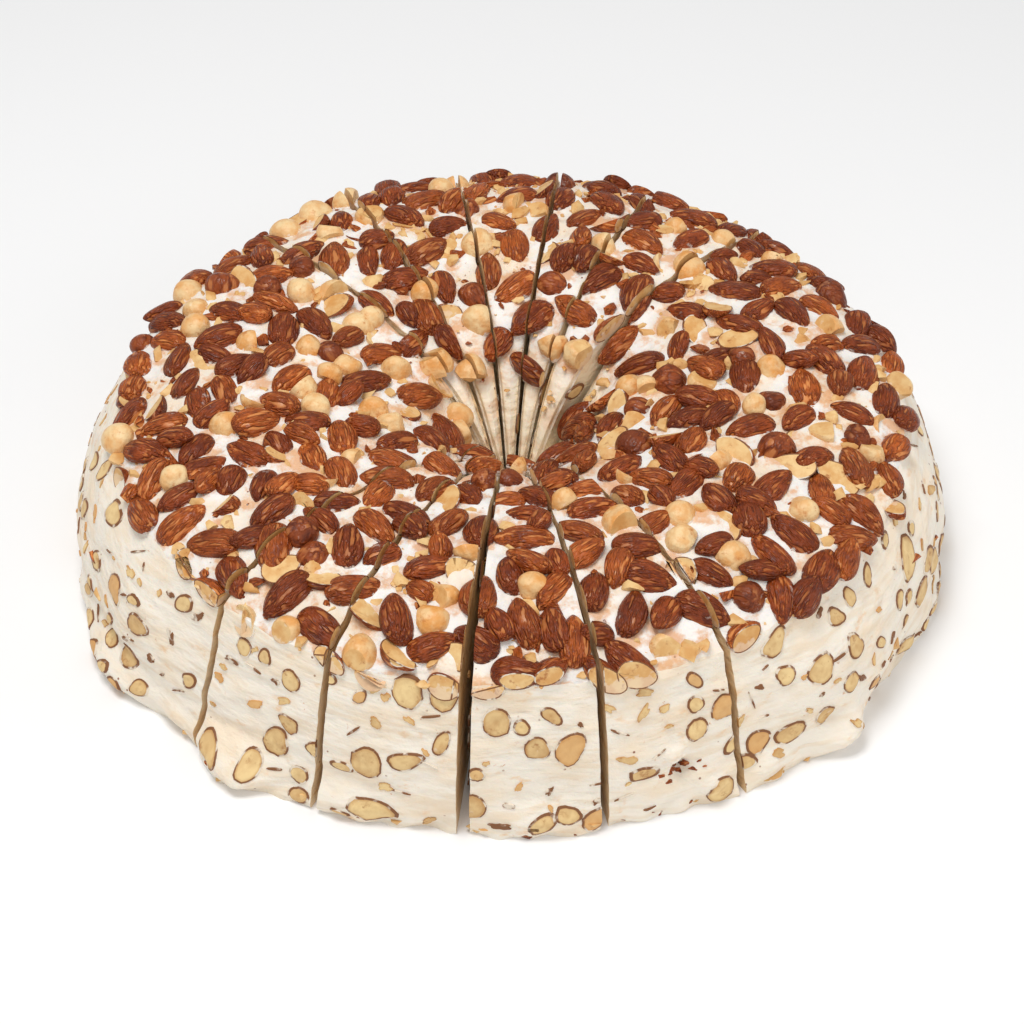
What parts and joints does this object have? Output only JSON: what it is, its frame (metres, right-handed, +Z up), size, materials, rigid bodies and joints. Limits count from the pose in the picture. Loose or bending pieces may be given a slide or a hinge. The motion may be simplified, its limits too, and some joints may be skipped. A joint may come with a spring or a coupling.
{
  "type": "nougat cake",
  "caption": "Low round wheel of soft white nougat with a sunken middle, its top covered in whole roasted almonds and hazelnuts, partly cut into slices.",
  "frame": {"origin": "on the floor under the middle of the wheel, where all the cuts meet", "axes": "+Z up, -Y towards the four front slices, +X towards the right-hand uncut block"},
  "size_m": [0.3379, 0.3304, 0.0798],
  "materials": {
    "nougat": "soft white nougat, slightly satin, trimmed and smeared at the side",
    "almond_skin": "roasted almond skin with lengthwise ridges",
    "hazelnut_skin": "roasted hazelnut skin, faintly glossy",
    "nut_flesh": "blanched roasted hazelnut and cut nut flesh, satin"
  },
  "bodies": {
    "root": {"slice_front_1": "nougat", "slice_front_2": "nougat", "slice_front_3": "nougat", "slice_front_4": "nougat", "slice_back_1": "nougat", "slice_back_2": "nougat", "slice_back_3": "nougat", "slice_back_4": "nougat", "slice_back_5": "nougat", "block_left": "nougat", "block_right": "nougat"}
  },
  "joints": []
}
